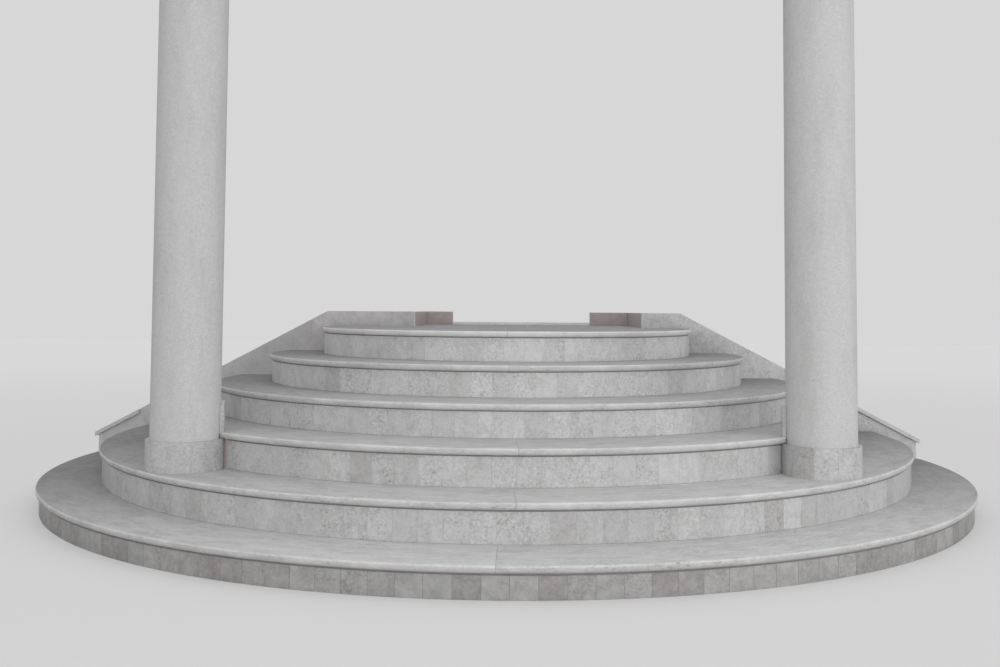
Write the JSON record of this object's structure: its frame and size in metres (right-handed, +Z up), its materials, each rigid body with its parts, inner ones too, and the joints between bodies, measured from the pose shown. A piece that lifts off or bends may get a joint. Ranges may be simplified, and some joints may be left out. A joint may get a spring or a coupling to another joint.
{
  "type": "curved entrance steps",
  "caption": "Concentric curved stone entrance steps with a landing, door recess floor, raking wall skirtings and round porch columns standing on the second step.",
  "frame": {"origin": "on the ground, in the plane of the house wall, on the middle line of the steps", "axes": "+X along the wall to the right as seen from the front, +Y into the house, +Z up"},
  "size_m": [5.5652, 3.9869, 3.2],
  "materials": {
    "tread_stone": "honed travertine",
    "riser_stone": "honed travertine tiles",
    "skirting_stone": "honed travertine",
    "column_render": "stippled white render",
    "concrete_core": "cast concrete",
    "mortar_fill": "mortar"
  },
  "bodies": {
    "root": {"column_band_left": "riser_stone", "column_band_right": "riser_stone", "column_left": "column_render", "column_right": "column_render", "column_upper_band_left": "riser_stone", "column_upper_band_right": "riser_stone", "coping_left": "skirting_stone", "coping_right": "skirting_stone", "core_recess": "concrete_core", "core_step_1": "concrete_core", "core_step_2": "concrete_core", "core_step_3": "concrete_core", "core_step_4": "concrete_core", "core_step_5": "concrete_core", "core_step_6": "concrete_core", "door_sill": "tread_stone", "door_skirting_left": "skirting_stone", "door_skirting_right": "skirting_stone", "landing": "tread_stone", "recess_floor": "tread_stone", "recess_skirting_left": "skirting_stone", "recess_skirting_right": "skirting_stone", "riser_1": "riser_stone", "riser_2": "riser_stone", "riser_3": "riser_stone", "riser_4": "riser_stone", "riser_5": "riser_stone", "riser_6": "riser_stone", "skirting_end_left": "skirting_stone", "skirting_end_right": "skirting_stone", "skirting_fill_left": "mortar_fill", "skirting_fill_right": "mortar_fill", "skirting_left": "skirting_stone", "skirting_right": "skirting_stone", "tread_1": "tread_stone", "tread_2": "tread_stone", "tread_3": "tread_stone", "tread_4": "tread_stone", "tread_5": "tread_stone"}
  },
  "joints": []
}
